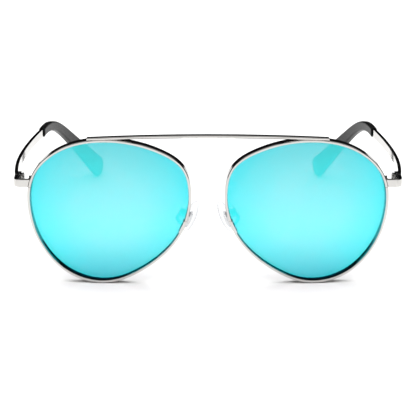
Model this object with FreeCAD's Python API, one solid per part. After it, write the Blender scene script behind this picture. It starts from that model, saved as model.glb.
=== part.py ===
# Metal sunglasses: round lenses in grooved rims, one straight brow bar, folding
# temples with plastic ear socks, and clear nose pads that rock on their arms.
#
# Millimetres. +X is the wearer's left, +Y runs back along the temples and +Z is up.
# The glasses stand on the two rims and the two temple tips, temples open. The origin
# is on that surface, under the middle of the whole object.
import FreeCAD
import Part
import math
import os

V = FreeCAD.Vector
ORIGIN = V(0, 0, 0)
UP = V(0, 0, 1)
BACK = V(0, 1, 0)

# ---- Lens shape and face form -------------------------------------------------
EYE_X = 36.9             # centre line to lens centre, along the lens plane
EYE_Z = 28.45            # lens centre above the surface
FACE_FORM = 3.0          # each lens plane turns back by this angle
# Lens outline about the lens centre: first number towards the temple, second up.
LENS_OUTLINE = [(-29.4, 2.4), (-29.6, 9.5), (-27.5, 17.0), (-18.6, 23.5), (2.7, 27.4), (15.6, 24.7),
                (28.0, 13.4), (29.5, 1.4), (24.4, -14.4), (13.0, -25.1), (0.1, -27.1), (-10.6, -22.8),
                (-22.3, -13.1), (-27.5, -4.5)]
LENS_RADIUS = 265.0      # front surface
LENS_THICKNESS = 1.6
LENS_RECESS = 1.4        # lens edge behind the rim's front face
LENS_MEAN_RADIUS = 28.5
LENS_BLANK_RADIUS = 33.6
LENS_PLAY = 0.08         # gap between the lens edge and the rim

# ---- Rims ---------------------------------------------------------------------
RIM_WIDTH = 1.0
RIM_DEPTH_NOSE = 3.3     # the rim deepens evenly from the nose side
RIM_DEPTH_TEMPLE = 4.0   # to the endpiece
RIM_CHAMFER = 0.25
RIM_INNER_CHAMFER = 0.12
GROOVE_DEPTH = 0.45
GROOVE_HALF = 0.5
BEVEL_DEPTH = 0.37
BEVEL_HALF = 0.41
SPLIT_NASAL_Z = 25.5     # where the upper and lower rim wires meet, nose side
SPLIT_TEMPLE_Z = 37.9    # and at the endpiece
SPLIT_GAP = 0.1
LUG_REACH = 0.4          # lower rim's thick end over the lens, nose side
LUG_LENGTH = 4.5
LUG_DEPTH = 0.6

# ---- Brow bar -----------------------------------------------------------------
BAR_HALF_LENGTH = 44.7
BAR_MIDDLE_Z = 58.75
BAR_DROP = 1.85          # ends below the middle
BAR_SWEEP = 2.4          # ends behind the middle
BAR_FRONT_Y = -0.1
BAR_HEIGHT = 1.1
BAR_DEPTH = 2.2
BAR_CORNER = 0.3

# ---- Endpiece and hinge (left side) -------------------------------------------
STRIP = 1.3              # thickness of endpiece and temple
END_TOP = 41.05
END_HEIGHT = 3.1
END_FRONT_Y = 3.6
END_OUTER_X = 72.35
END_BEND = 2.4
HINGE_X = 69.7
HINGE_Y = 9.6
BUTT_GAP = 0.2
KNUCKLE_RADIUS = 1.1
KNUCKLE_HEIGHT = 1.0
KNUCKLE_GAP = 0.07
LEAF_THICKNESS = 0.85
LEAF_LENGTH = 4.6
SWING_RADIUS = 1.55      # leaves are cut away round the barrel within this
HINGE_SCREW_RADIUS = 0.5
RUNNING_PLAY = 0.05

# ---- Rim lock: two blocks and a screw behind the rim at the endpiece -------------
LOCK_U = 29.7
LOCK_WIDTH = 1.6
LOCK_DEPTH = 2.0
LOCK_HEIGHT = 2.3
LOCK_SCREW_RADIUS = 0.4

# ---- Temple and ear sock --------------------------------------------------------
TEMPLE_PLAN = [(71.7, 9.7), (72.85, 30.0), (70.6, 56.0), (65.2, 84.0), (59.8, 102.0), (49.5, 128.0), (46.6, 137.0)]
TEMPLE_HEIGHT = 3.1
TEMPLE_FALL = 0.03       # straight part drops this much per millimetre back
BEND_Y = 76.8
BEND_RADIUS = 37.0
BEND_ANGLE = 40.0
CORE_SHORTFALL = 12.0    # metal stops this far before the end of the sock
SOCK_START_Y = 72.5
SOCK_THICKNESS = 2.5
SOCK_HALF_START = 1.95
SOCK_HALF_TIP = 4.3
SOCK_WIDENING = 2.6      # higher keeps the sock slim for longer
SOCK_ROUND = 0.8

# ---- Nose pads ------------------------------------------------------------------
PAD_PIVOT = V(8.8, 8.0, 26.2)
PAD_TILT = 24.0          # tops lean together
PAD_SPLAY = 22.0         # backs flare apart
PAD_HALF_LENGTH = 6.4
PAD_HALF_WIDTH = 3.8
PAD_HALF_THICKNESS = 1.2
PAD_BELOW_PIVOT = 0.6
PLATE_BELOW_PIVOT = 2.0   # insert sits low in the pad
PAD_OFFSET = 3.0         # pad's middle plane from the pivot, towards the nose
TAB_RADIUS = 0.75
TAB_THICKNESS = 0.8
PLATE_HALF_LENGTH = 3.4
PLATE_HALF_WIDTH = 1.7
PLATE_THICKNESS = 0.5
BOX_HALF_HEIGHT = 1.1
BOX_FRONT = 0.55
BOX_INNER = 1.1
BOX_WALL = 0.5
CHEEK_INNER = 0.55
CHEEK_OUTER = 1.15
PAD_SCREW_RADIUS = 0.35
ARM_RADIUS = 0.5

SCREW_SLOT = 0.25


# ---- Small helpers ----------------------------------------------------------------
def polygon_prism(points, direction):
    """Extrude a closed polygon of vectors."""
    return Part.Face(Part.makePolygon(points + [points[0]])).extrude(direction)


def block(low, high):
    """An axis-parallel block between two corners."""
    size = high - low
    return Part.makeBox(size.x, size.y, size.z, low)


def screw(radius, head_radius, head_height, length):
    """A slotted screw on the Z axis, head underside at zero, shank going down."""
    shank = Part.makeCylinder(radius, length, V(0, 0, -length))
    head = Part.makeCylinder(head_radius, head_height)
    slot = block(V(-SCREW_SLOT / 2, -2 * head_radius, head_height / 2),
                 V(SCREW_SLOT / 2, 2 * head_radius, 2 * head_height))
    return shank.fuse(head).cut(slot).removeSplitter()


def turn_to_lens_plane(shape):
    """Swing a shape built flat in the XZ plane back to the face form."""
    turned = shape.copy()
    turned.rotate(ORIGIN, UP, FACE_FORM)
    return turned


def swept(path, points, binormal):
    """Carry a polygon section along a path, keeping one section direction fixed."""
    maker = Part.BRepOffsetAPI.MakePipeShell(path)
    maker.setBiNormalMode(binormal)
    maker.add(Part.makePolygon(points + [points[0]]))
    maker.build()
    maker.makeSolid()
    return maker.shape()


# ---- Lens and rims ---------------------------------------------------------------
def outline_curve():
    """The closed lens outline, flat in the XZ plane."""
    points = [V(EYE_X + u, 0, EYE_Z + v) for u, v in LENS_OUTLINE]
    curve = Part.BSplineCurve()
    curve.interpolate(Points=points, PeriodicFlag=True)
    return curve


def ring(section):
    """Sweep a section round the outline; its points are (outwards, backwards)."""
    curve = outline_curve()
    start = curve.value(curve.FirstParameter)
    tangent = curve.tangent(curve.FirstParameter)[0]
    outward = tangent.cross(BACK)
    if outward.x > 0:
        outward = outward * -1
    points = [start + outward * out + BACK * back for out, back in section]
    return swept(Part.Wire([curve.toShape()]), points, BACK)


def groove_centre():
    return LENS_RECESS + LENS_THICKNESS / 2


def rim_section():
    middle = groove_centre()
    return [(0, RIM_INNER_CHAMFER), (RIM_INNER_CHAMFER, 0), (RIM_WIDTH - RIM_CHAMFER, 0),
            (RIM_WIDTH, RIM_CHAMFER), (RIM_WIDTH, 2 * RIM_DEPTH_TEMPLE),
            (0, 2 * RIM_DEPTH_TEMPLE), (0, middle + GROOVE_HALF),
            (GROOVE_DEPTH, middle), (0, middle - GROOVE_HALF)]


def trim_back(shape):
    """Cut the back of a band to the rim's tapering depth."""
    reach = abs(LENS_OUTLINE[0][0]) + RIM_WIDTH
    slope = (RIM_DEPTH_TEMPLE - RIM_DEPTH_NOSE) / (2 * reach)
    nose_x = EYE_X - 2 * reach
    temple_x = EYE_X + 2 * reach
    far = 10 * RIM_DEPTH_TEMPLE
    nose_depth = RIM_DEPTH_NOSE - slope * reach
    temple_depth = RIM_DEPTH_TEMPLE + slope * reach
    waste = polygon_prism([V(nose_x, nose_depth, 0), V(temple_x, temple_depth, 0),
                           V(temple_x, far, 0), V(nose_x, far, 0)], V(0, 0, 2 * EYE_Z + far))
    waste.translate(V(0, 0, -far / 2))
    return shape.cut(waste)


def split_tools():
    """Everything above, and everything below, the two joints in the rim."""
    far = 100.0
    half = SPLIT_GAP / 2
    above = [block(V(-far, -far, SPLIT_NASAL_Z + half), V(EYE_X, far, far)),
             block(V(EYE_X, -far, SPLIT_TEMPLE_Z + half), V(far, far, far))]
    below = [block(V(-far, -far, -far), V(EYE_X, far, SPLIT_NASAL_Z - half)),
             block(V(EYE_X, -far, -far), V(far, far, SPLIT_TEMPLE_Z - half))]
    return above[0].fuse(above[1]), below[0].fuse(below[1])


def nasal_lug():
    """The lower rim's end, thickened over the lens and fading out downwards."""
    band = ring([(-LUG_REACH, 0), (RIM_WIDTH / 2, 0), (RIM_WIDTH / 2, LUG_DEPTH), (-LUG_REACH, LUG_DEPTH)])
    top = SPLIT_NASAL_Z - SPLIT_GAP / 2
    nasal_x = EYE_X + LENS_OUTLINE[0][0]
    window = polygon_prism([V(nasal_x - 3, -1, top), V(nasal_x + 1.6, -1, top), V(nasal_x + 1.7, -1, top - 0.6),
                            V(nasal_x + 3.5, -1, top - LUG_LENGTH), V(nasal_x - 3, -1, top - LUG_LENGTH)],
                           V(0, 3, 0))
    return band.common(window)


def rims():
    whole = trim_back(ring(rim_section()))
    above, below = split_tools()
    upper = whole.common(above)
    lower = whole.common(below).fuse(nasal_lug()).removeSplitter()
    return turn_to_lens_plane(upper), turn_to_lens_plane(lower)


def rim_envelope():
    """The rim's outside as a solid band, for trimming what is soldered to it."""
    deep = 2 * RIM_DEPTH_TEMPLE
    return turn_to_lens_plane(trim_back(ring([(-3, -2), (RIM_WIDTH, -2), (RIM_WIDTH, deep), (-3, deep)])))


def lens():
    """A meniscus cut to the outline, with a bevelled edge that sits in the groove."""
    sag = LENS_MEAN_RADIUS ** 2 / (2 * LENS_RADIUS)
    front = LENS_RECESS - sag
    centre = V(EYE_X, front + LENS_RADIUS, EYE_Z)
    drum = Part.makeCylinder(LENS_BLANK_RADIUS, 10, V(EYE_X, front - 1, EYE_Z), BACK)
    blank = drum.common(Part.makeSphere(LENS_RADIUS, centre))
    blank = blank.cut(Part.makeSphere(LENS_RADIUS - LENS_THICKNESS, centre))
    middle = groove_centre()
    reach = LENS_BLANK_RADIUS
    waste = ring([(-LENS_PLAY, -reach / 4), (-LENS_PLAY, middle - BEVEL_HALF),
                  (BEVEL_DEPTH, middle), (-LENS_PLAY, middle + BEVEL_HALF),
                  (-LENS_PLAY, reach / 4), (reach / 3, reach / 4), (reach / 3, -reach / 4)])
    return turn_to_lens_plane(blank.cut(waste))


# ---- Brow bar --------------------------------------------------------------------
def brow_bar(envelopes):
    """A flat-topped bar on one shallow arc, saddled on the two rims."""
    end_y = BAR_FRONT_Y + BAR_SWEEP
    left_end = V(BAR_HALF_LENGTH, end_y, BAR_MIDDLE_Z - BAR_DROP)
    right_end = V(-BAR_HALF_LENGTH, end_y, BAR_MIDDLE_Z - BAR_DROP)
    arc = Part.Arc(right_end, V(0, BAR_FRONT_Y, BAR_MIDDLE_Z), left_end).toShape()
    half = BAR_HEIGHT / 2
    corner = BAR_CORNER
    section = [(0, half - corner), (corner, half), (BAR_DEPTH - corner, half), (BAR_DEPTH, half - corner),
               (BAR_DEPTH, corner - half), (BAR_DEPTH - corner, -half), (corner, -half), (0, corner - half)]
    along = arc.tangentAt(arc.FirstParameter)
    back = (BACK - along * along.y).normalize()
    rise = along.cross(back) * -1
    if rise.z < 0:
        rise = rise * -1
    points = [right_end + back * depth + rise * height for depth, height in section]
    bar = swept(Part.Wire([arc]), points, UP)
    for envelope in envelopes:
        bar = bar.cut(envelope)
    return bar


# ---- Endpiece, rim lock and hinge ---------------------------------------------------
def end_bottom():
    return END_TOP - END_HEIGHT


def strip_inner_x():
    return END_OUTER_X - STRIP


def endpiece(envelope):
    """A strip that leaves the rim sideways and bends back to the hinge."""
    bend_x = END_OUTER_X - END_BEND
    bend_y = END_FRONT_Y + END_BEND
    start_x = bend_x - 5.0
    end_y = HINGE_Y - BUTT_GAP / 2
    inner = END_BEND - STRIP
    diagonal = math.sqrt(0.5)
    z = end_bottom()

    def bend(radius):
        middle = V(bend_x + radius * diagonal, bend_y - radius * diagonal, z)
        return Part.Arc(V(bend_x, bend_y - radius, z), middle, V(bend_x + radius, bend_y, z)).toShape()

    edges = [Part.makeLine(V(start_x, END_FRONT_Y, z), V(bend_x, END_FRONT_Y, z)), bend(END_BEND),
             Part.makeLine(V(END_OUTER_X, bend_y, z), V(END_OUTER_X, end_y, z)),
             Part.makeLine(V(END_OUTER_X, end_y, z), V(strip_inner_x(), end_y, z)),
             Part.makeLine(V(strip_inner_x(), end_y, z), V(strip_inner_x(), bend_y, z)), bend(inner),
             Part.makeLine(V(bend_x, END_FRONT_Y + STRIP, z), V(start_x, END_FRONT_Y + STRIP, z)),
             Part.makeLine(V(start_x, END_FRONT_Y + STRIP, z), V(start_x, END_FRONT_Y, z))]
    profile = Part.Face(Part.Wire(Part.__sortEdges__(edges)))
    return profile.extrude(V(0, 0, END_HEIGHT)).cut(envelope)


def rim_lock(endpiece_shape, envelope):
    """Upper block, lower block and the vertical screw that closes the rim."""
    left = EYE_X + LOCK_U - LOCK_WIDTH / 2
    right = left + LOCK_WIDTH
    half = SPLIT_GAP / 2
    front = RIM_DEPTH_TEMPLE - 0.3
    back = RIM_DEPTH_TEMPLE + LOCK_DEPTH
    upper = block(V(left, front, SPLIT_TEMPLE_Z + half), V(right, back, SPLIT_TEMPLE_Z + LOCK_HEIGHT))
    lower = block(V(left, front, SPLIT_TEMPLE_Z - LOCK_HEIGHT), V(right, back, SPLIT_TEMPLE_Z - half))
    head = 0.55
    bolt = screw(LOCK_SCREW_RADIUS, 0.8, head, 2 * LOCK_HEIGHT - 0.6)
    bolt.translate(V(EYE_X + LOCK_U, RIM_DEPTH_TEMPLE + LOCK_DEPTH / 2, SPLIT_TEMPLE_Z + LOCK_HEIGHT))
    hole = Part.makeCylinder(LOCK_SCREW_RADIUS + RUNNING_PLAY / 2, 3 * LOCK_HEIGHT,
                             V(EYE_X + LOCK_U, RIM_DEPTH_TEMPLE + LOCK_DEPTH / 2, SPLIT_TEMPLE_Z - 1.5 * LOCK_HEIGHT))
    pieces = [turn_to_lens_plane(piece) for piece in (upper.cut(hole), lower.cut(hole), bolt)]
    fixed = endpiece_shape.fuse(envelope)
    return pieces[0].cut(fixed), pieces[1].cut(fixed), pieces[2]


def barrel(low_z, high_z):
    return Part.makeCylinder(KNUCKLE_RADIUS, high_z - low_z, V(HINGE_X, HINGE_Y, low_z))


def hinge_bore(radius):
    return Part.makeCylinder(radius, 3 * END_HEIGHT, V(HINGE_X, HINGE_Y, end_bottom() - END_HEIGHT))


def hinge_front_leaf():
    """Plate on the endpiece's inner face with a knuckle at the top and the bottom."""
    inner = strip_inner_x()
    low = end_bottom()
    plate = block(V(inner - LEAF_THICKNESS, HINGE_Y - LEAF_LENGTH + 1.0, low), V(inner, HINGE_Y, END_TOP))
    swing = block(V(HINGE_X - SWING_RADIUS, HINGE_Y - SWING_RADIUS, low + KNUCKLE_HEIGHT),
                  V(inner + 1, HINGE_Y + 1, END_TOP - KNUCKLE_HEIGHT))
    leaf = plate.cut(swing)
    leaf = leaf.fuse(barrel(low, low + KNUCKLE_HEIGHT))
    leaf = leaf.fuse(barrel(END_TOP - KNUCKLE_HEIGHT, END_TOP))
    return leaf.cut(hinge_bore(HINGE_SCREW_RADIUS)).removeSplitter()


def hinge_temple_leaf(arm):
    """Plate on the temple's inner face with the middle knuckle."""
    inner = strip_inner_x()
    low = end_bottom() + KNUCKLE_HEIGHT + KNUCKLE_GAP
    high = END_TOP - KNUCKLE_HEIGHT - KNUCKLE_GAP
    leaf_x = inner - LEAF_THICKNESS
    tongue = block(V(leaf_x, HINGE_Y, low), V(inner, HINGE_Y + SWING_RADIUS, high))
    margin = 0.35
    plate = block(V(leaf_x, HINGE_Y + SWING_RADIUS, end_bottom() + margin / 2),
                  V(inner + STRIP / 2, HINGE_Y + LEAF_LENGTH, END_TOP - margin))
    leaf = tongue.fuse(plate).fuse(barrel(low, high))
    return leaf.cut(arm).cut(hinge_bore(HINGE_SCREW_RADIUS + RUNNING_PLAY)).removeSplitter()


def hinge_screw():
    head = 0.45
    bolt = screw(HINGE_SCREW_RADIUS, 0.95, head, END_HEIGHT - 0.1)
    bolt.translate(V(HINGE_X, HINGE_Y, END_TOP))
    return bolt


# ---- Temple and ear sock -------------------------------------------------------------
def temple_band(thickness):
    """A tall vertical sheet that follows the temple seen from above."""
    points = [V(x, y, 0) for x, y in TEMPLE_PLAN]
    curve = Part.BSplineCurve()
    curve.interpolate(Points=points)
    start = curve.value(curve.FirstParameter)
    tangent = curve.tangent(curve.FirstParameter)[0]
    across = tangent.cross(UP)
    half = thickness / 2
    corners = [start + across * side + UP * z for side, z in
               ((-half, -5.0), (half, -5.0), (half, 50.0), (-half, 50.0))]
    return swept(Part.Wire([curve.toShape()]), corners, UP)


def centre_height(y):
    """Height of the temple's middle line on its straight part."""
    return END_TOP - TEMPLE_HEIGHT / 2 - TEMPLE_FALL * (y - HINGE_Y)


def side_point(distance, offset):
    """A point beside the middle line, seen from the side.

    distance runs along the line from the start of the ear bend; offset is upwards
    from the line, square to it.
    """
    start_angle = math.atan(TEMPLE_FALL)
    end_angle = math.radians(BEND_ANGLE)
    turned = start_angle + distance / BEND_RADIUS
    angle = min(max(turned, start_angle), end_angle)
    y = BEND_Y + BEND_RADIUS * (math.sin(angle) - math.sin(start_angle))
    z = centre_height(BEND_Y) - BEND_RADIUS * (math.cos(start_angle) - math.cos(angle))
    run = distance - BEND_RADIUS * (angle - start_angle)
    y = y + run * math.cos(angle)
    z = z - run * math.sin(angle)
    return V(0, y + offset * math.sin(angle), z + offset * math.cos(angle))


def tip_distance():
    """Where the middle line reaches the centre of the sock's round end."""
    start_angle = math.atan(TEMPLE_FALL)
    end_angle = math.radians(BEND_ANGLE)
    bend_length = BEND_RADIUS * (end_angle - start_angle)
    drop = side_point(bend_length, 0).z - SOCK_HALF_TIP
    return bend_length + drop / math.sin(end_angle)


def side_prism(edges):
    """Extrude a closed side view across the whole temple."""
    face = Part.Face(Part.Wire(Part.__sortEdges__(edges)))
    prism = face.extrude(V(60, 0, 0))
    prism.translate(V(30, 0, 0))
    return prism


def bend_arc(offset):
    """The ear bend's arc at an offset from the middle line."""
    length = BEND_RADIUS * (math.radians(BEND_ANGLE) - math.atan(TEMPLE_FALL))
    return Part.Arc(side_point(0, offset), side_point(length / 2, offset), side_point(length, offset)).toShape()


def temple_arm():
    half = TEMPLE_HEIGHT / 2
    start_angle = math.atan(TEMPLE_FALL)
    start_y = HINGE_Y + BUTT_GAP / 2
    run = (BEND_Y - start_y) / math.cos(start_angle)
    bend_length = BEND_RADIUS * (math.radians(BEND_ANGLE) - start_angle)
    end = tip_distance() - CORE_SHORTFALL + SOCK_HALF_TIP
    edges = [Part.makeLine(side_point(-run, half), side_point(0, half)), bend_arc(half),
             Part.makeLine(side_point(bend_length, half), side_point(end, half)),
             Part.makeLine(side_point(end, half), side_point(end, -half)),
             Part.makeLine(side_point(end, -half), side_point(bend_length, -half)), bend_arc(-half),
             Part.makeLine(side_point(0, -half), side_point(-run, -half)),
             Part.makeLine(side_point(-run, -half), side_point(-run, half))]
    front = block(V(0, 0, 0), V(100, start_y, 100))
    return temple_band(STRIP).common(side_prism(edges)).cut(front)


def sock_half_height(share):
    """Half the sock's height, from its collar (0) to its round end (1)."""
    return SOCK_HALF_START + (SOCK_HALF_TIP - SOCK_HALF_START) * share ** SOCK_WIDENING


def ear_sock(arm):
    """A sleeve over the temple's end that widens into a round-ended paddle."""
    first = -(BEND_Y - SOCK_START_Y)
    last = tip_distance()
    stations = 5
    upper = []
    lower = []
    for index in range(stations):
        share = index / (stations - 1)
        distance = first + (last - first) * share
        upper.append(side_point(distance, sock_half_height(share)))
        lower.append(side_point(distance, -sock_half_height(share)))
    top = Part.BSplineCurve()
    top.interpolate(Points=upper)
    bottom = Part.BSplineCurve()
    bottom.interpolate(Points=lower)
    tip = Part.Arc(upper[-1], side_point(last + SOCK_HALF_TIP, 0), lower[-1]).toShape()
    edges = [top.toShape(), tip, bottom.toShape(), Part.makeLine(lower[0], upper[0])]
    sleeve = temple_band(SOCK_THICKNESS).common(side_prism(edges))
    long_edges = [edge for edge in sleeve.Edges if edge.BoundBox.YMax > SOCK_START_Y + 3]
    return sleeve.makeFillet(SOCK_ROUND, long_edges).cut(arm)


# ---- Nose pad, built about its pivot: X away from the nose, Y back, Z up --------------
def place_pad(shape):
    placed = shape.copy()
    placed.rotate(ORIGIN, UP, -PAD_SPLAY)
    placed.rotate(ORIGIN, BACK, -PAD_TILT)
    placed.translate(PAD_PIVOT)
    return placed


def pad_insert():
    """Metal plate inside the pad with the drilled tab that the screw holds."""
    plate = Part.makeCylinder(1, PLATE_THICKNESS, V(0, 0, 0), V(1, 0, 0))
    stretch = FreeCAD.Matrix()
    stretch.scale(1, PLATE_HALF_WIDTH, PLATE_HALF_LENGTH)
    plate = plate.transformGeometry(stretch)
    plate.translate(V(-PAD_OFFSET, 0, -PLATE_BELOW_PIVOT))
    half = TAB_THICKNESS / 2
    neck = block(V(-PAD_OFFSET, -half, -TAB_RADIUS), V(0, half, TAB_RADIUS))
    eye = Part.makeCylinder(TAB_RADIUS, TAB_THICKNESS, V(0, -half, 0), BACK)
    hole = Part.makeCylinder(PAD_SCREW_RADIUS + RUNNING_PLAY, 4, V(0, -2, 0), BACK)
    return plate.fuse(neck).fuse(eye).cut(hole).removeSplitter()


def nose_pad(insert):
    stretch = FreeCAD.Matrix()
    stretch.scale(PAD_HALF_THICKNESS, PAD_HALF_WIDTH, PAD_HALF_LENGTH)
    pad = Part.makeSphere(1).transformGeometry(stretch)
    pad.translate(V(-PAD_OFFSET, 0, -PAD_BELOW_PIVOT))
    return pad.cut(insert)


def pad_box():
    """Open channel that the tab rocks in."""
    back = BOX_INNER + BOX_WALL
    outer = block(V(-BOX_FRONT, -CHEEK_OUTER, -BOX_HALF_HEIGHT), V(back, CHEEK_OUTER, BOX_HALF_HEIGHT))
    slot = block(V(-2 * BOX_FRONT, -CHEEK_INNER, -2 * BOX_HALF_HEIGHT),
                 V(BOX_INNER, CHEEK_INNER, 2 * BOX_HALF_HEIGHT))
    hole = Part.makeCylinder(PAD_SCREW_RADIUS, 4, V(0, -2, 0), BACK)
    return outer.cut(slot).cut(hole)


def pad_screw():
    head = 0.35
    bolt = screw(PAD_SCREW_RADIUS, 0.65, head, 2 * CHEEK_OUTER + 0.1)
    bolt.rotate(ORIGIN, V(1, 0, 0), 90)
    bolt.translate(V(0, -CHEEK_OUTER, 0))
    return bolt


def pad_arm(box, envelope):
    """Bent wire from the back of the lower rim to the pad box."""
    box_back = place_pad(Part.Vertex(V(BOX_INNER + BOX_WALL + 0.2, 0, 0))).Point
    route = [V(9.35, RIM_DEPTH_NOSE - 0.3, 23.2), V(10.4, 5.2, 23.0), V(11.7, 6.9, 24.4), box_back]
    arm = Part.makeSphere(ARM_RADIUS, route[1])
    for first, second in zip(route, route[1:]):
        run = second - first
        arm = arm.fuse(Part.makeCylinder(ARM_RADIUS, run.Length, first, run))
    arm = arm.fuse(Part.makeSphere(ARM_RADIUS, route[2]))
    return arm.cut(box).cut(envelope).removeSplitter()


# ---- The whole object -----------------------------------------------------------------
def left_side():
    """Every piece on the wearer's left, by name."""
    envelope = rim_envelope()
    upper, lower = rims()
    end = endpiece(envelope)
    lock_upper, lock_lower, lock_screw = rim_lock(end, envelope)
    arm = temple_arm()
    insert = pad_insert()
    box = place_pad(pad_box())
    return {
        "upper_rim": upper,
        "lower_rim": lower,
        "lens": lens(),
        "endpiece": end,
        "rim_lock_upper": lock_upper,
        "rim_lock_lower": lock_lower,
        "rim_lock_screw": lock_screw,
        "hinge_front_leaf": hinge_front_leaf(),
        "hinge_screw": hinge_screw(),
        "hinge_temple_leaf": hinge_temple_leaf(arm),
        "temple_arm": arm,
        "ear_sock": ear_sock(arm),
        "pad_arm": pad_arm(box, envelope),
        "pad_box": box,
        "pad_screw": place_pad(pad_screw()),
        "pad_insert": place_pad(insert),
        "nose_pad": place_pad(nose_pad(insert)),
    }


def mirrored(shape):
    return shape.mirror(ORIGIN, V(1, 0, 0))


def build():
    pieces = {}
    for name, shape in left_side().items():
        pieces[name + "_left"] = shape
        pieces[name + "_right"] = mirrored(shape)
    envelope = rim_envelope()
    pieces["brow_bar"] = brow_bar([envelope, mirrored(envelope)])
    return pieces


def centred(pieces):
    """Move everything so that the origin is under the middle of the whole object."""
    box = FreeCAD.BoundBox()
    for shape in pieces.values():
        box.add(shape.optimalBoundingBox(False))
    shift = V(-box.Center.x, -box.Center.y, -box.ZMin)
    for shape in pieces.values():
        shape.translate(shift)
    return shift, box


os.makedirs("parts", exist_ok=True)
parts = build()
offset, extent = centred(parts)
for node, solid in parts.items():
    solid.exportStep("parts/" + node + ".step")
    print(node, "solids", len(solid.Solids), "valid", solid.isValid(), "volume", round(solid.Volume, 2))
print("size", round(extent.XLength, 2), round(extent.YLength, 2), round(extent.ZLength, 2), "moved by", offset)
print("hinge axis", V(HINGE_X, HINGE_Y, END_TOP) + offset)
print("pad pivot", PAD_PIVOT + offset)
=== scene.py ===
import math

import bpy
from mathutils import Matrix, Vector


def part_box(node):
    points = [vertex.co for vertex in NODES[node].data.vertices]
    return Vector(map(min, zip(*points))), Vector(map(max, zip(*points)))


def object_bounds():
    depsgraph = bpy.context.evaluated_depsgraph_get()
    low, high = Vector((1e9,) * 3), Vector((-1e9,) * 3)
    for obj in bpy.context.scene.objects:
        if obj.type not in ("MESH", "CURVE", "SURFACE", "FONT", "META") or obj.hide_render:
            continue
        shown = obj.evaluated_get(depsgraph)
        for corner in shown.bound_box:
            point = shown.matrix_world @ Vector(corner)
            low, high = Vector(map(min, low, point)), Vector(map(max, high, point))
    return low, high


# Metres throughout. +X is the wearer's left, +Y runs back along the temples, +Z is up.

# ---- Camera ---------------------------------------------------------------------------
ELEVATION = math.radians(20.0)
DISTANCE = 0.65
FOCAL = 151.5            # in millimetres, like the sensor width
SENSOR_WIDTH = 36.0
FRONT_INSET = 0.0001     # the camera aims this far behind the front of the whole box
TARGET_HEIGHT = 0.0311

# ---- Studio ---------------------------------------------------------------------------
FLOOR_HALF = 2.5
FLOOR_BACK = 0.8         # the floor ends this far behind the glasses
FLOOR_COLOUR = (0.93, 0.93, 0.93, 1.0)
LAMP_PLACE = (0, 0.0, 3.2)
LAMP_SIZE = (6.0, 6.0)
LAMP_POWER = 336.0
LAMP_AIM = (0, 0, 0.03)
SKY = (0.5, 0.5, 0.5, 1.0)
WALL = (0.008, 0.008, 0.009, 1.0)
WALL_FOOT = (-0.1, -0.02)    # the dark wall fades in between these directions' heights
WALL_TOP = (0.8, 0.6)        # and out again between these

# ---- Pieces ---------------------------------------------------------------------------
SIDES = ("left", "right")
ROUNDED = ("endpiece",)  # these get softened edges
ROUNDING = 0.0003
ROUNDING_STEPS = 3
ROUNDING_ANGLE = math.radians(35.0)
WELD = 0.000002

# ---- Metals: name, colour, roughness, scale of the polishing marks --------------------
POLISHED = ("polished_metal", (0.58, 0.565, 0.545), 0.08, 3500.0)
SATIN = ("satin_metal", (0.60, 0.60, 0.60), 0.24, 2800.0)
DARK = ("dark_metal", (0.07, 0.075, 0.10), 0.28, 2800.0)
BOLT = ("screw", (0.75, 0.75, 0.75), 0.16, 3200.0)
BROAD_GRAIN = 180.0
DARKER = 0.93            # tone of the duller patches
DULLEST = 1.25           # roughness varies between these shares of its value
GLOSSIEST = 0.8
POLISHING_DEPTH = 0.000004
NOISE_RANGE = (0.3, 0.7)     # the part of a noise pattern that is used

# ---- Lens -----------------------------------------------------------------------------
LENS_HALF_HEIGHT = 0.028
LENS_REACH = 0.030       # from the lens centre to the furthest edge
LENS_CLEAR_SHARE = 0.42  # the rest of the lens is mirror coat
LENS_ROUGHNESS = 0.06
LENS_WAVE_SCALE = 60.0
LENS_WAVE_DEPTH = 0.00002
# Share of the height from the bottom, then the coat's colour. The coat turns darker and bluer
# towards the bottom: painted shade for the dimmer floor reflected there.
COAT_WITH_PAINTED_SHADE_BY_HEIGHT = [(0.0, (0.02, 0.90, 1.0)), (0.2, (0.03, 0.98, 1.0)), (0.5, (0.06, 1.0, 1.0)),
                  (0.8, (0.08, 1.0, 1.0)), (1.0, (0.10, 1.0, 1.0))]
# Share of the reach from the centre, then the tint's colour. The tint loses red towards the rim:
# a painted reflection for the stronger reflection near the lens edge.
TINT_WITH_PAINTED_EDGE_REFLECTION_BY_RADIUS = [(0.0, (1.0, 0.50, 0.60)), (0.45, (0.95, 0.50, 0.60)),
                  (0.85, (0.68, 0.48, 0.60)), (1.0, (0.48, 0.45, 0.60))]

# ---- Sock and nose pads ---------------------------------------------------------------
SOCK_TONES = (0.004, 0.008)
SOCK_ROUGHNESS = (0.24, 0.32)
SOCK_SPECULAR = 0.16
SOCK_GRAIN = 2600.0
SOCK_MOTTLE = 120.0
# Dark bluish-grey that shows most where the pad is seen edge on: painted shade for the darkening
# refraction gives clear silicone's edges.
SILICONE_TINT_AND_EDGE_SHADE = (0.16, 0.18, 0.25, 1.0)
SILICONE_ROUGHNESS = 0.12
SILICONE_IOR = 1.41
SILICONE_BLEND = 0.35
SILICONE_FACING = (0.35, 0.9)     # face on, then edge on
SILICONE_ALPHA = (0.12, 0.85)     # and the opacity at each, so the painted edge shade shows most edge on
SILICONE_GRAIN = 900.0
GRAIN_DEPTH = 0.00001

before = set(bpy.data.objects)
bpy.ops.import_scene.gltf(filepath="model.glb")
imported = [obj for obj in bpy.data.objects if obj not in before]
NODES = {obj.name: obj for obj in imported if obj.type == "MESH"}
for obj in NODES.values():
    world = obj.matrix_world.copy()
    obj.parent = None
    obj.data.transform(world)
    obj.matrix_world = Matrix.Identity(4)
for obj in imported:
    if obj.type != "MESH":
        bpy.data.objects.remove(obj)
cad_low, cad_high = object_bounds()


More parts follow.
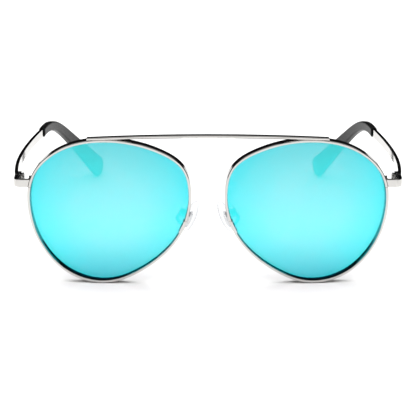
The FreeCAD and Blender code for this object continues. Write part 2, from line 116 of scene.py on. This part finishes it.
def make_camera():
    target = Vector((0, cad_low.y + FRONT_INSET, TARGET_HEIGHT))
    direction = Vector((0, math.cos(ELEVATION), -math.sin(ELEVATION)))
    data = bpy.data.cameras.new("camera")
    data.lens = FOCAL
    data.sensor_width = SENSOR_WIDTH
    camera = bpy.data.objects.new("camera", data)
    camera.location = target - DISTANCE * direction
    camera.rotation_euler = direction.to_track_quat("-Z", "Y").to_euler()
    bpy.context.collection.objects.link(camera)
    bpy.context.scene.camera = camera


# ---- Small helpers for node trees -----------------------------------------------------
class Tree:
    """A material's node tree with short calls for adding and joining nodes."""

    def __init__(self, name):
        self.material = bpy.data.materials.new(name)
        self.material.use_nodes = True
        self.nodes = self.material.node_tree.nodes
        self.links = self.material.node_tree.links
        self.shader = self.nodes["Principled BSDF"]
        self.output = self.nodes["Material Output"]

    def add(self, kind, **values):
        node = self.nodes.new(kind)
        for key, value in values.items():
            setattr(node, key, value)
        return node

    def join(self, source, target):
        self.links.new(source, target)

    def noise(self, scale, detail=3.0):
        place = self.add("ShaderNodeTexCoord")
        node = self.add("ShaderNodeTexNoise")
        node.inputs["Scale"].default_value = scale
        node.inputs["Detail"].default_value = detail
        self.join(place.outputs["Object"], node.inputs["Vector"])
        return node.outputs["Fac"]

    def ramp(self, source, stops):
        node = self.add("ShaderNodeValToRGB")
        elements = node.color_ramp.elements
        while len(elements) < len(stops):
            elements.new(0.5)
        for element, (position, colour) in zip(elements, stops):
            element.position = position
            element.color = (*colour, 1.0)
        self.join(source, node.inputs["Fac"])
        return node.outputs["Color"]

    def span(self, source, low, high, to_low=0.0, to_high=1.0):
        node = self.add("ShaderNodeMapRange")
        for name, value in zip(("From Min", "From Max", "To Min", "To Max"),
                               (low, high, to_low, to_high)):
            node.inputs[name].default_value = value
        self.join(source, node.inputs["Value"])
        return node.outputs["Result"]

    def bump(self, height, distance, strength=1.0):
        node = self.add("ShaderNodeBump")
        node.inputs["Strength"].default_value = strength
        node.inputs["Distance"].default_value = distance
        self.join(height, node.inputs["Height"])
        self.join(node.outputs["Normal"], self.shader.inputs["Normal"])


def metal(name, colour, roughness, grain):
    """Plated metal: a faint variation of tone and gloss, and fine polishing marks."""
    tree = Tree(name)
    tree.shader.inputs["Metallic"].default_value = 1.0
    fine = tree.noise(grain)
    broad = tree.noise(BROAD_GRAIN)
    darker = tuple(channel * DARKER for channel in colour)
    tree.join(tree.ramp(broad, [(0.35, darker), (0.65, colour)]),
              tree.shader.inputs["Base Color"])
    tree.join(tree.span(fine, *NOISE_RANGE, roughness * GLOSSIEST, roughness * DULLEST),
              tree.shader.inputs["Roughness"])
    tree.bump(fine, POLISHING_DEPTH)
    return tree.material


def lens_material(name, centre):
    """Ice blue mirror on a tinted sheet: paler in the middle, bluer at the lower edge. The bluer,
    darker bottom is painted shade for the dimmer floor reflected there; the less red rim is a
    painted reflection for the stronger reflection at the edge.
    """
    tree = Tree(name)
    place = tree.add("ShaderNodeTexCoord")
    offset = tree.add("ShaderNodeVectorMath", operation="SUBTRACT")
    offset.inputs[1].default_value = centre
    tree.join(place.outputs["Object"], offset.inputs[0])
    flat = tree.add("ShaderNodeVectorMath", operation="MULTIPLY")
    flat.inputs[1].default_value = (1.0, 0.0, 1.0)
    tree.join(offset.outputs["Vector"], flat.inputs[0])
    length = tree.add("ShaderNodeVectorMath", operation="LENGTH")
    tree.join(flat.outputs["Vector"], length.inputs[0])
    radius = tree.span(length.outputs["Value"], 0.0, LENS_REACH)
    parts = tree.add("ShaderNodeSeparateXYZ")
    tree.join(offset.outputs["Vector"], parts.inputs[0])
    height = tree.span(parts.outputs["Z"], -LENS_HALF_HEIGHT, LENS_HALF_HEIGHT)
    # Coat colour by height, with painted shade: darker and bluer towards the bottom.
    tree.join(tree.ramp(height, COAT_WITH_PAINTED_SHADE_BY_HEIGHT), tree.shader.inputs["Base Color"])
    tree.shader.inputs["Metallic"].default_value = 1.0
    tree.shader.inputs["Roughness"].default_value = LENS_ROUGHNESS
    tree.bump(tree.noise(LENS_WAVE_SCALE, 1.0), LENS_WAVE_DEPTH)
    # See-through tint by radius, with a painted reflection: less red towards the rim.
    tint_and_edge_reflection = tree.ramp(radius, TINT_WITH_PAINTED_EDGE_REFLECTION_BY_RADIUS)
    clear = tree.add("ShaderNodeBsdfTransparent")
    tree.join(tint_and_edge_reflection, clear.inputs["Color"])
    mix = tree.add("ShaderNodeMixShader")
    mix.inputs["Fac"].default_value = LENS_CLEAR_SHARE
    tree.join(tree.shader.outputs["BSDF"], mix.inputs[1])
    tree.join(clear.outputs["BSDF"], mix.inputs[2])
    tree.join(mix.outputs["Shader"], tree.output.inputs["Surface"])
    return tree.material


def sock_material(name):
    """Semi-gloss black plastic with a very fine grain."""
    tree = Tree(name)
    grain = tree.noise(SOCK_GRAIN)
    stops = [(share, (tone, tone, tone)) for share, tone in zip(NOISE_RANGE, SOCK_TONES)]
    tree.join(tree.ramp(tree.noise(SOCK_MOTTLE), stops), tree.shader.inputs["Base Color"])
    tree.join(tree.span(grain, *NOISE_RANGE, *SOCK_ROUGHNESS), tree.shader.inputs["Roughness"])
    tree.shader.inputs["Specular IOR Level"].default_value = SOCK_SPECULAR
    tree.bump(grain, GRAIN_DEPTH)
    return tree.material


def silicone_material(name):
    """Clear silicone: its body looks denser where it is seen edge on, painted shade for the
    darkening that refraction gives its edges.
    """
    tree = Tree(name)
    edge = tree.add("ShaderNodeLayerWeight")
    edge.inputs["Blend"].default_value = SILICONE_BLEND
    tree.shader.inputs["Base Color"].default_value = SILICONE_TINT_AND_EDGE_SHADE
    tree.shader.inputs["Roughness"].default_value = SILICONE_ROUGHNESS
    tree.shader.inputs["IOR"].default_value = SILICONE_IOR
    tree.join(tree.span(edge.outputs["Facing"], *SILICONE_FACING, *SILICONE_ALPHA),
              tree.shader.inputs["Alpha"])
    tree.bump(tree.noise(SILICONE_GRAIN), GRAIN_DEPTH)
    return tree.material


# ---- Studio ---------------------------------------------------------------------------
def make_floor():
    half = FLOOR_HALF
    corners = [(-half, -half, 0), (half, -half, 0), (half, FLOOR_BACK, 0), (-half, FLOOR_BACK, 0)]
    mesh = bpy.data.meshes.new("studio_floor")
    mesh.from_pydata(corners, [], [(0, 1, 2, 3)])
    floor = bpy.data.objects.new("studio_floor", mesh)
    bpy.context.collection.objects.link(floor)
    tree = Tree("studio_floor")
    tree.shader.inputs["Base Color"].default_value = FLOOR_COLOUR
    tree.shader.inputs["Roughness"].default_value = 0.22
    tree.shader.inputs["Specular IOR Level"].default_value = 0.35
    mesh.materials.append(tree.material)


def make_lamp():
    """One broad soft lamp overhead, kept out of the polished metal's reflections."""
    data = bpy.data.lights.new("overhead", "AREA")
    data.shape = "RECTANGLE"
    data.size, data.size_y = LAMP_SIZE
    data.energy = LAMP_POWER
    light = bpy.data.objects.new("overhead", data)
    light.location = LAMP_PLACE
    aim = Vector(LAMP_AIM) - Vector(LAMP_PLACE)
    light.rotation_euler = aim.to_track_quat("-Z", "Y").to_euler()
    light.visible_glossy = False
    bpy.context.collection.objects.link(light)


def make_world():
    """Dark walls all round, which show on polished metal, under a soft grey ceiling."""
    world = bpy.data.worlds.new("studio")
    bpy.context.scene.world = world
    world.use_nodes = True
    nodes, links = world.node_tree.nodes, world.node_tree.links
    place = nodes.new("ShaderNodeTexCoord")
    split = nodes.new("ShaderNodeSeparateXYZ")
    links.new(place.outputs["Generated"], split.inputs[0])

    def span(source, low, high):
        node = nodes.new("ShaderNodeMapRange")
        node.interpolation_type = "SMOOTHSTEP"
        node.inputs["From Min"].default_value = low
        node.inputs["From Max"].default_value = high
        links.new(source, node.inputs["Value"])
        return node.outputs["Result"]

    def times(a, b):
        node = nodes.new("ShaderNodeMath")
        node.operation = "MULTIPLY"
        links.new(a, node.inputs[0])
        links.new(b, node.inputs[1])
        return node.outputs[0]

    wall = times(span(split.outputs["Z"], *WALL_FOOT), span(split.outputs["Z"], *WALL_TOP))
    mix = nodes.new("ShaderNodeMix")
    mix.data_type = "RGBA"
    mix.inputs[6].default_value = SKY
    mix.inputs[7].default_value = WALL
    links.new(wall, mix.inputs[0])
    background = nodes["Background"]
    links.new(mix.outputs[2], background.inputs["Color"])
    background.inputs["Strength"].default_value = 1.0


# ---- Materials on the pieces ----------------------------------------------------------
def paint(node, material):
    piece = NODES[node]
    if node.startswith(ROUNDED):
        piece.modifiers.new("weld", "WELD").merge_threshold = WELD
        bevel = piece.modifiers.new("rounding", "BEVEL")
        bevel.width = ROUNDING
        bevel.segments = ROUNDING_STEPS
        bevel.angle_limit = ROUNDING_ANGLE
    piece.modifiers.new("even_normals", "WEIGHTED_NORMAL").keep_sharp = True
    piece.data.materials.clear()
    piece.data.materials.append(material)


def paint_all():
    polished = metal(*POLISHED)
    satin = metal(*SATIN)
    dark = metal(*DARK)
    bolt = metal(*BOLT)
    sock = sock_material("sock")
    clear = silicone_material("silicone")
    paint("brow_bar", polished)
    groups = (("polished_metal", polished, ("upper_rim", "lower_rim", "endpiece", "temple_arm",
                                            "pad_arm", "rim_lock_upper", "rim_lock_lower")),
              ("satin_metal", satin, ("hinge_front_leaf", "hinge_temple_leaf")),
              ("dark_metal", dark, ("pad_box", "pad_insert")),
              ("screw", bolt, ("hinge_screw", "rim_lock_screw", "pad_screw")),
              ("sock", sock, ("ear_sock",)),
              ("silicone", clear, ("nose_pad",)))
    for side in SIDES:
        for slot, material, names in groups:
            for name in names:
                paint(f"{name}_{side}", material)
        low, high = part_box(f"lens_{side}")
        paint(f"lens_{side}", lens_material(f"lens_{side}", (low + high) / 2))


bpy.context.scene.view_settings.view_transform = "Standard"
make_camera()
make_world()
make_floor()
make_lamp()
paint_all()
